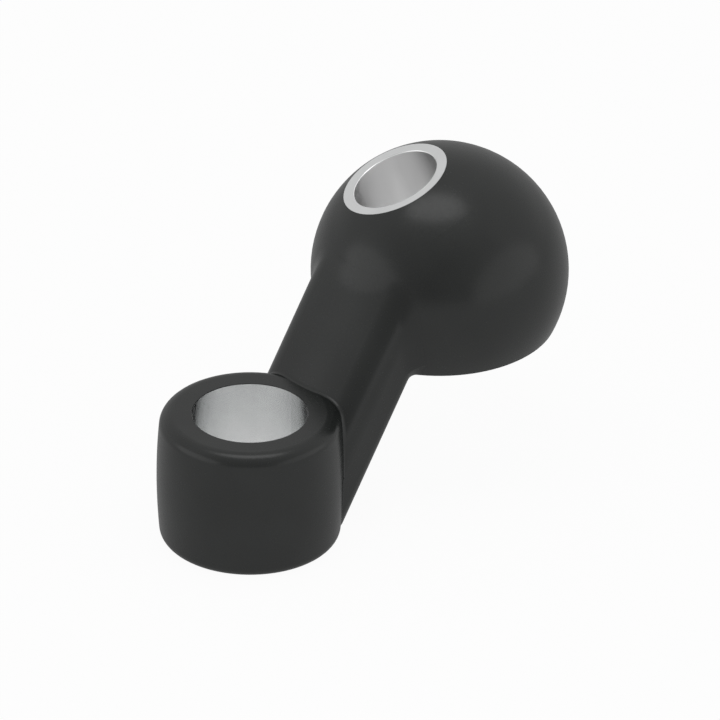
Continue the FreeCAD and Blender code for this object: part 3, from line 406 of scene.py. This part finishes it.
def boss_nearest(points):
    """Nearest point of the outside of the boss, a turned barrel, and which points lie inside.

    In radius and height, a point beside the wall goes to the arc of the barrel, a point past the end of
    that arc to the arc of the rim round, and a point inside the rim rounds to the flat. The barrel's
    radius is (height^2 + bulge^2) / 2 / bulge, with height half that of the boss.
    """
    barrel = (BOSS_TOP ** 2 + BOSS_BULGE ** 2) / 2 / BOSS_BULGE
    middle = BOSS_RADIUS - barrel
    radius = np.linalg.norm(points[..., :2], axis=-1)
    height = points[..., 2]
    out = np.maximum(np.hypot(radius - middle, height), TINY)
    near = np.stack([middle + barrel * (radius - middle) / out, barrel * height / out], axis=-1)
    for soft, side in ((BOSS_ROUND, 1.0), (BOSS_FOOT_ROUND, -1.0)):
        centre_z = side * (BOSS_TOP - soft)
        centre_r = middle + math.sqrt((barrel - soft) ** 2 - centre_z ** 2)
        past = side * ((radius - middle) * centre_z - height * (centre_r - middle)) < 0
        off_r, off_z = radius - centre_r, height - centre_z
        size = np.maximum(np.hypot(off_r, off_z), TINY)
        rim = np.stack([centre_r + soft * off_r / size, centre_z + soft * off_z / size], axis=-1)
        face = np.stack([radius, np.full_like(radius, side * BOSS_TOP)], axis=-1)
        rim = np.where((radius <= centre_r)[..., None], face, rim)
        near = np.where(past[..., None], rim, near)
    outwards = points[..., :2] / np.maximum(radius, TINY)[..., None]
    placed = np.concatenate([outwards * near[..., :1], near[..., 1:]], axis=-1)
    inside = (np.abs(height) < BOSS_TOP) & (radius < near[..., 0] + TINY)
    return placed, inside


def arm_outline(steps):
    """Outline of the arm square to its slope, the way each of its points faces, and its turn.

    The outline is a crown arc, two shoulder arcs, two flat sides, two corner arcs and a flat underside.
    A point of an arc is its centre + radius * (sin turn, cos turn), with turn the angle from the crest.
    One half is drawn, each stretch as distance across, rise above the head centre and turn, and the
    other half mirrors it.
    """
    crown_middle = ARM_CREST - ARM_CROWN
    shoulder_across = ARM_HALF_WIDTH - ARM_SHOULDER
    shoulder_rise = crown_middle + math.sqrt((ARM_CROWN - ARM_SHOULDER) ** 2 - shoulder_across ** 2)
    shoulder_turn = math.asin(shoulder_across / (ARM_CROWN - ARM_SHOULDER))
    under = ARM_CREST - ARM_THICKNESS
    corner_across, corner_rise = ARM_HALF_WIDTH - ARM_CORNER, under + ARM_CORNER

    def arc(across, rise, radius, start, end):
        turn = np.linspace(start, end, steps, endpoint=False)
        return across + radius * np.sin(turn), rise + radius * np.cos(turn), turn

    side = np.linspace(shoulder_rise, corner_rise, steps, endpoint=False)
    stretches = (
        arc(0.0, crown_middle, ARM_CROWN, 0.0, shoulder_turn),
        arc(shoulder_across, shoulder_rise, ARM_SHOULDER, shoulder_turn, QUARTER),
        (np.full(steps, ARM_HALF_WIDTH), side, np.full(steps, QUARTER)),
        arc(corner_across, corner_rise, ARM_CORNER, QUARTER, math.pi),
        (np.linspace(corner_across, 0, steps), np.full(steps, under), np.full(steps, math.pi)))
    across, rise, turn = (np.concatenate(rows) for rows in zip(*stretches))
    back = slice(-2, 0, -1)                                  # all but the two points on the middle
    hand = np.append(np.ones_like(turn), -np.ones_like(turn[back]))
    across = np.append(across, -across[back])
    rise, turn = np.append(rise, rise[back]), np.append(turn, turn[back])
    points = HEAD_CENTRE + rise[:, None] * ARM_UP + across[:, None] * ACROSS
    facing = np.cos(turn)[:, None] * ARM_UP + (hand * np.sin(turn))[:, None] * ACROSS
    return points, facing, turn


def head_blend_radius(look, turn):
    """Radius of the blend to the head: wide over the crest, tighter at the sides, small underneath.

    It is a ^ (1 - part) * b ^ part between the radii a and b of two places. The part grows evenly from
    crest to side, and as a square root from side to underside.
    """
    side = np.clip(turn / QUARTER, 0, 1)
    under = np.clip(turn / QUARTER - 1, 0, 1) ** 0.5
    above = look.crest_blend ** (1 - side) * look.side_blend ** side
    return np.where(turn > QUARTER, look.side_blend ** (1 - under) * look.under_blend ** under, above)


def boss_blend_radius(look, turn, height):
    """Radius of the blend to the boss: small over the crest, wider down the sides to the foot.

    It changes evenly with height down the flat sides, and evenly with turn from there to the
    underside, where hardly any is left.
    """
    under = np.clip(turn / QUARTER - 1, 0, 1)
    least = look.under_blend / 2
    radius = np.where(turn > QUARTER, look.foot_blend * (1 - under) + least * under, look.root_blend)
    flat = np.isclose(turn, QUARTER, rtol=0, atol=1e-6)
    part = (height - height[flat].min()) / np.ptp(height[flat])
    return np.where(flat, look.foot_blend + (look.root_blend - look.foot_blend) * part, radius)


def rolled_blend(points, facing, radius, nearest, clear, past, steps, lowest=-math.inf):
    """Concave blend that a ball leaves as it rolls round where the arm meets a body.

    Each outline point is carried along the arm until a ball of the blend radius, resting on the arm,
    touches the body. The place is found by halving the stretch between one that is clear of the body
    and one past its surface, both counted along the arm from the head centre. The blend is the arc of
    that ball between its two touches, and its back is a line of points sunk inside both, so the strip
    is closed. Where the ball would go below a lowest height, the strip stops there and dives into the
    arm.
    """
    sink = 0.4 * MM                                          # how deep the back of the strip lies
    halvings = 48
    least_spread = 0.2                                       # keeps the back close where the arc is long
    least_bend = 1e-6                                        # for an arc of no length
    start = points + facing * radius[:, None]
    low, high = np.full(len(points), clear), np.full(len(points), past)
    for _ in range(halvings):
        middle = (low + high) / 2
        place = start + middle[:, None] * ARM_ALONG
        near, inside = nearest(place)
        gap = np.linalg.norm(place - near, axis=-1) * np.where(inside, -1, 1) - radius
        high, low = np.where(gap < 0, middle, high), np.where(gap < 0, low, middle)
    ball = start + ((low + high) / 2)[:, None] * ARM_ALONG
    ends = ball[:, 2] < lowest
    if ends.any():
        # There it lies twice as deep as its back elsewhere, on a ball too small to be seen.
        down = (lowest - points[:, 2]) / ARM_ALONG[2]
        stop = points + down[:, None] * ARM_ALONG - facing * sink * 2
        ball, radius = np.where(ends[:, None], stop, ball), np.where(ends, sink / 4, radius)
    near, _ = nearest(ball)
    first = -facing
    last = (near - ball) / np.linalg.norm(near - ball, axis=-1, keepdims=True)
    bend = np.arccos(np.clip((first * last).sum(-1), -1, 1))[:, None]
    part = np.linspace(0, 1, steps)[:, None, None]
    arc = np.sin((1 - part) * bend) * first + np.sin(part * bend) * last
    arc /= np.maximum(np.sin(bend), least_bend)
    face = ball + arc * radius[:, None]
    both = first + last
    spread = np.maximum((both * both).sum(-1, keepdims=True) / 2, least_spread)
    back = ball + both / spread * (radius[:, None] + sink)
    return np.concatenate([face, back[None]], axis=0)


# Stage


SOFTBOXES = (
    # name, setting of its strength, metres to the right, towards the camera and up, its two widths
    ("softbox_top", "top_light", (0.0, 0.0, 0.42), (0.34, 0.20)),
    ("softbox_left", "side_light", (-0.45, 0.18, 0.10), (0.60, 0.34)),
    ("softbox_right", "side_light", (0.45, 0.18, 0.04), (0.70, 0.42)),
)
AIM = Vector((18 * MM, 0.0, 10 * MM))                        # point that the side lights face
VIEW_RIGHT, VIEW_UP = 14.76 * MM, 15.16 * MM                 # middle of the picture from the boss centre
CAMERA_AWAY = 0.4                                            # in metres, as are the next three
NEAREST_SEEN, FARTHEST_SEEN = 0.01, 5.0
FLOOR_HALF = 3.0
FLOOR_GAP = 0.02 * MM                                        # keeps the floor clear of the boss underside


def ray_kinds(tree, in_metal):
    """Which rays come straight from the camera, and which by way of metal, in part, or through glass."""
    rays = add(tree, "ShaderNodeLightPath")
    metal = add(tree, "ShaderNodeMath", {1: in_metal}, {0: rays.outputs["Is Glossy Ray"]},
                operation="MULTIPLY")
    indirect = add(tree, "ShaderNodeMath", operation="MAXIMUM",
                   feeds={0: metal.outputs["Value"], 1: rays.outputs["Is Transmission Ray"]})
    return rays.outputs["Is Camera Ray"], indirect.outputs["Value"]


def light_world(scene, look, near):
    """Even grey studio light.

    Seen directly it is white. In metal and through glass it is white behind the object and to its
    sides, and darker on the side of the camera, as a room is behind the photographer.
    """
    scene.world = bpy.data.worlds.new("studio")
    tree = empty_tree(scene.world)
    straight, indirect = ray_kinds(tree, 1.0)
    way = add(tree, "ShaderNodeTexCoord").outputs["Generated"]
    towards = add(tree, "ShaderNodeVectorMath", {1: tuple(near)}, {0: way}, operation="DOT_PRODUCT")
    room = add(tree, "ShaderNodeMapRange",
               {"From Min": 0.0, "From Max": 1.0, "To Min": 1.0, "To Max": look.room_behind},
               {"Value": towards.outputs["Value"]})
    even = add(tree, "ShaderNodeBackground", {"Color": WHITE, "Strength": look.sky})
    mirrored = add(tree, "ShaderNodeBackground", {"Color": WHITE}, {"Strength": room.outputs["Result"]})
    white = add(tree, "ShaderNodeBackground", {"Color": WHITE, "Strength": 1.0})
    lit = add(tree, "ShaderNodeMixShader", feeds={0: indirect, 1: even.outputs["Background"],
                                                  2: mirrored.outputs["Background"]})
    seen = add(tree, "ShaderNodeMixShader", feeds={0: straight, 1: lit.outputs["Shader"],
                                                   2: white.outputs["Background"]})
    add(tree, "ShaderNodeOutputWorld", feeds={"Surface": seen.outputs["Shader"]})


def lay_floor(scene, look):
    """A wide pale floor under the boss that keeps a soft shadow and is white to the camera."""
    half, level = FLOOR_HALF, -BOSS_TOP - FLOOR_GAP
    mesh = bpy.data.meshes.new("floor")
    mesh.from_pydata([(-half, -half, level), (half, -half, level), (half, half, level),
                      (-half, half, level)], [], [(0, 1, 2, 3)])
    floor = bpy.data.objects.new("floor", mesh)
    scene.collection.objects.link(floor)
    # Matt studio paper: pale and even, with the object's shadow and no sheen.
    material = bpy.data.materials.new("Studio paper")
    tree = empty_tree(material)
    straight, indirect = ray_kinds(tree, look.floor_in_metal)
    shown = add(tree, "ShaderNodeMath", feeds={0: straight, 1: indirect}, operation="MAXIMUM")
    part = add(tree, "ShaderNodeMath", {1: look.floor_white}, {0: shown.outputs["Value"]},
               operation="MULTIPLY")
    paper = add(tree, "ShaderNodeBsdfDiffuse", {"Color": linear("#f2f2f2")})
    white = add(tree, "ShaderNodeEmission", {"Color": WHITE, "Strength": 1.0})
    mix = add(tree, "ShaderNodeMixShader", feeds={0: part.outputs["Value"], 1: paper.outputs["BSDF"],
                                                  2: white.outputs["Emission"]})
    add(tree, "ShaderNodeOutputMaterial", feeds={"Surface": mix.outputs["Shader"]})
    mesh.materials.append(material)


def hang_light(scene, name, place, widths, watts, turn):
    """A softbox that faces the object; the one overhead has its long side across the view."""
    lamp = bpy.data.lights.new(name, "AREA")
    lamp.shape, lamp.energy = "ELLIPSE", watts
    lamp.size, lamp.size_y = widths
    light = bpy.data.objects.new(name, lamp)
    light.location = place
    if name == "softbox_top":
        light.rotation_euler = (0.0, 0.0, turn)
    else:
        light.rotation_euler = (Vector(place) - AIM).to_track_quat("Z", "Y").to_euler()
    scene.collection.objects.link(light)


# Operators, one for each group of pieces


class ROD_OT_moulding(Operator):
    """Finish the black moulded link and blend its arm into the head and the boss"""
    bl_idname = "rod.moulding"
    bl_label = "Moulded link"

    def execute(self, context):
        look = context.scene.rod_moulding
        # Glass-filled nylon 66, injection moulded in a spark-eroded tool: a satin black with soft, wide
        # highlights whose edges break up into a fine grain. A real grain is near 0.1 mm, too fine to
        # show, so it is drawn coarser.
        nylon = moulded("Glass-filled nylon, spark-eroded finish", look.base, look.shine, look.grain,
                        look.grain_depth)
        points, facing, turn = arm_outline(steps=24)
        grid = rolled_blend(points, facing, head_blend_radius(look, turn), head_nearest,
                            clear=-40 * MM, past=0.0, steps=12)
        head = show("arm_head_blend", closed_mesh("arm_head_blend", grid))
        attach(head, "link")
        grid = rolled_blend(points, facing, boss_blend_radius(look, turn, points[:, 2]), boss_nearest,
                            clear=0.0, past=-60 * MM, steps=8, lowest=FOOT_END)
        root = show("arm_boss_blend", closed_mesh("arm_boss_blend", grid))
        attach(root, "link")
        dress(nylon, "link_body", "arm_head_blend", "arm_boss_blend")
        return {"FINISHED"}


class ROD_OT_boot(Operator):
    """Build the rubber boot that closes the head round the sleeve"""
    bl_idname = "rod.boot"
    bl_label = "Rubber boot"

    def execute(self, context):
        look = context.scene.rod_boot
        # Nitrile rubber, press moulded: a smooth satin black whose grain is shallower than the nylon's.
        rubber = moulded("Nitrile rubber, press moulded", look.base, look.shine, grain=0.6 * MM,
                         depth=0.003 * MM)
        boot = show("boot_skin", closed_mesh("boot_skin", spin(boot_section(look.skin), look.steps)))
        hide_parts("dust_boot")
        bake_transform(boot)
        dress(rubber, "boot_skin")
        return {"FINISHED"}


class ROD_OT_sleeve(Operator):
    """Finish the sleeve, the ball and the metal pieces round them"""
    bl_idname = "rod.sleeve"
    bl_label = "Sleeve and ball"

    def execute(self, context):
        look = context.scene.rod_metal
        # Stainless steel, fine turned: bright and even, with rings too fine to count. Its bore is painted a
        # lighter colour than its end, painted light that offsets the shade inside the bore, and that colour
        # reaches a margin past its radius so that no facet of it is left out.
        margin = 0.05 * MM
        bore = (SLEEVE_BORE + margin, look.bore, look.bore_shine)
        dress(turned_metal("Stainless steel, fine turned", look.sleeve, look.sleeve_shine, bore=bore),
              "pivot_sleeve")
        # Bearing steel, lapped: close to a mirror.
        dress(turned_metal("Bearing steel, lapped", linear("#c4c6c8")[:3], shine=0.12,
                           depth=0.0004 * MM, spread=0.03), "swivel_ball")
        # Tin bronze, fine bored: warm yellow-brown metal with tool rings.
        dress(turned_metal("Tin bronze, fine bored", look.bronze, shine=0.3), "ball_liner")
        # Carbon steel, zinc plated: light grey, slightly cloudy.
        dress(turned_metal("Carbon steel, zinc plated", linear("#a9acae")[:3], shine=0.36, spread=0.1),
              "bearing_shell", "backing_washer", "boot_lip_ring")
        # Spring steel, phosphated: dark matt grey metal.
        dress(turned_metal("Spring steel, phosphated", linear("#4a4a49")[:3], shine=0.5, spread=0.1),
              "preload_spring", "shell_circlip", "boot_band", "sleeve_clip")
        return {"FINISHED"}


class ROD_OT_seals(Operator):
    """Finish the polymer seats and washers and the rubber seals"""
    bl_idname = "rod.seals"
    bl_label = "Seats and seals"

    def execute(self, context):
        # Acetal, natural, turned from rod: milky ivory with a low sheen.
        dress(moulded("Acetal, natural", linear("#d9d3c0")[:3], shine=0.4, grain=0.5 * MM,
                      depth=0.003 * MM, mottle=0.04),
              "lower_seat", "upper_seat", "lower_thrust_washer", "upper_thrust_washer")
        # Nitrile rubber, compression moulded ring seals: plain satin black.
        dress(moulded("Nitrile rubber, ring seal", linear("#1d1d1d")[:3], shine=0.5, grain=0.4 * MM,
                      depth=0.003 * MM),
              "lower_wiper", "upper_ring_seal", "lower_ring_seal")
        return {"FINISHED"}


class ROD_OT_bush(Operator):
    """Finish the steel bush in the boss"""
    bl_idname = "rod.bush"
    bl_label = "Boss bush"

    def execute(self, context):
        look = context.scene.rod_metal
        # Carbon steel tube, roller burnished: a bright bore whose reflections run along it.
        dress(turned_metal("Carbon steel, roller burnished", look.bush, look.bush_shine,
                           axis=MOUNTS["boss_bore"]["axis"], centre=MOUNTS["boss_bore"]["pos_m"],
                           streak=0.95), "boss_bush")
        return {"FINISHED"}


class ROD_OT_stage(Operator):
    """Set the pale floor, the soft light and the camera"""
    bl_idname = "rod.stage"
    bl_label = "Stage"

    def execute(self, context):
        scene, look = context.scene, context.scene.rod_stage
        scene.view_settings.view_transform = "Standard"
        right = np.array([math.cos(look.turn), math.sin(look.turn), 0.0])
        near = np.array([math.sin(look.turn), -math.cos(look.turn), 0.0])
        high = np.array([0.0, 0.0, 1.0])
        back = near * math.cos(look.rise) + high * math.sin(look.rise)
        up = np.cross(back, right)
        light_world(scene, look, near)
        lay_floor(scene, look)
        for name, strength, place, widths in SOFTBOXES:
            place = place[0] * right + place[1] * near + place[2] * high
            hang_light(scene, name, place, widths, getattr(look, strength), look.turn)
        camera = bpy.data.objects.new("camera", bpy.data.cameras.new("camera"))
        scene.collection.objects.link(camera)
        camera.data.type = "ORTHO"
        camera.data.ortho_scale = look.view_width
        camera.data.clip_start, camera.data.clip_end = NEAREST_SEEN, FARTHEST_SEEN
        camera.location = VIEW_RIGHT * right + VIEW_UP * up + CAMERA_AWAY * back
        camera.rotation_euler = (QUARTER - look.rise, 0.0, look.turn)
        scene.camera = camera
        return {"FINISHED"}


class ROD_PT_panel(Panel):
    """Lists the pieces of the rod end"""
    bl_idname = "ROD_PT_panel"
    bl_label = "Rod end"
    bl_space_type = "VIEW_3D"
    bl_region_type = "UI"
    bl_category = "Rod end"

    def draw(self, context):
        scene = context.scene
        groups = (("rod.moulding", scene.rod_moulding), ("rod.boot", scene.rod_boot),
                  ("rod.sleeve", scene.rod_metal), ("rod.seals", None), ("rod.bush", None),
                  ("rod.stage", scene.rod_stage))
        for operator, settings in groups:
            box = self.layout.box()
            box.operator(operator)
            if settings is not None:
                for name in settings.__annotations__:
                    box.prop(settings, name)


CLASSES = (MouldingSettings, BootSettings, MetalSettings, StageSettings, ROD_OT_moulding, ROD_OT_boot,
           ROD_OT_sleeve, ROD_OT_seals, ROD_OT_bush, ROD_OT_stage, ROD_PT_panel)


def register():
    """Register the classes and give the scene its settings."""
    for item in CLASSES:
        bpy.utils.register_class(item)
    bpy.types.Scene.rod_moulding = PointerProperty(type=MouldingSettings)
    bpy.types.Scene.rod_boot = PointerProperty(type=BootSettings)
    bpy.types.Scene.rod_metal = PointerProperty(type=MetalSettings)
    bpy.types.Scene.rod_stage = PointerProperty(type=StageSettings)


def unregister():
    """Undo what register does, in reverse."""
    del bpy.types.Scene.rod_stage
    del bpy.types.Scene.rod_metal
    del bpy.types.Scene.rod_boot
    del bpy.types.Scene.rod_moulding
    for item in reversed(CLASSES):
        bpy.utils.unregister_class(item)


def main():
    """Register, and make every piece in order."""
    register()
    bpy.ops.rod.moulding()
    bpy.ops.rod.boot()
    bpy.ops.rod.sleeve()
    bpy.ops.rod.seals()
    bpy.ops.rod.bush()
    bpy.ops.rod.stage()


if __name__ == "__main__":
    main()
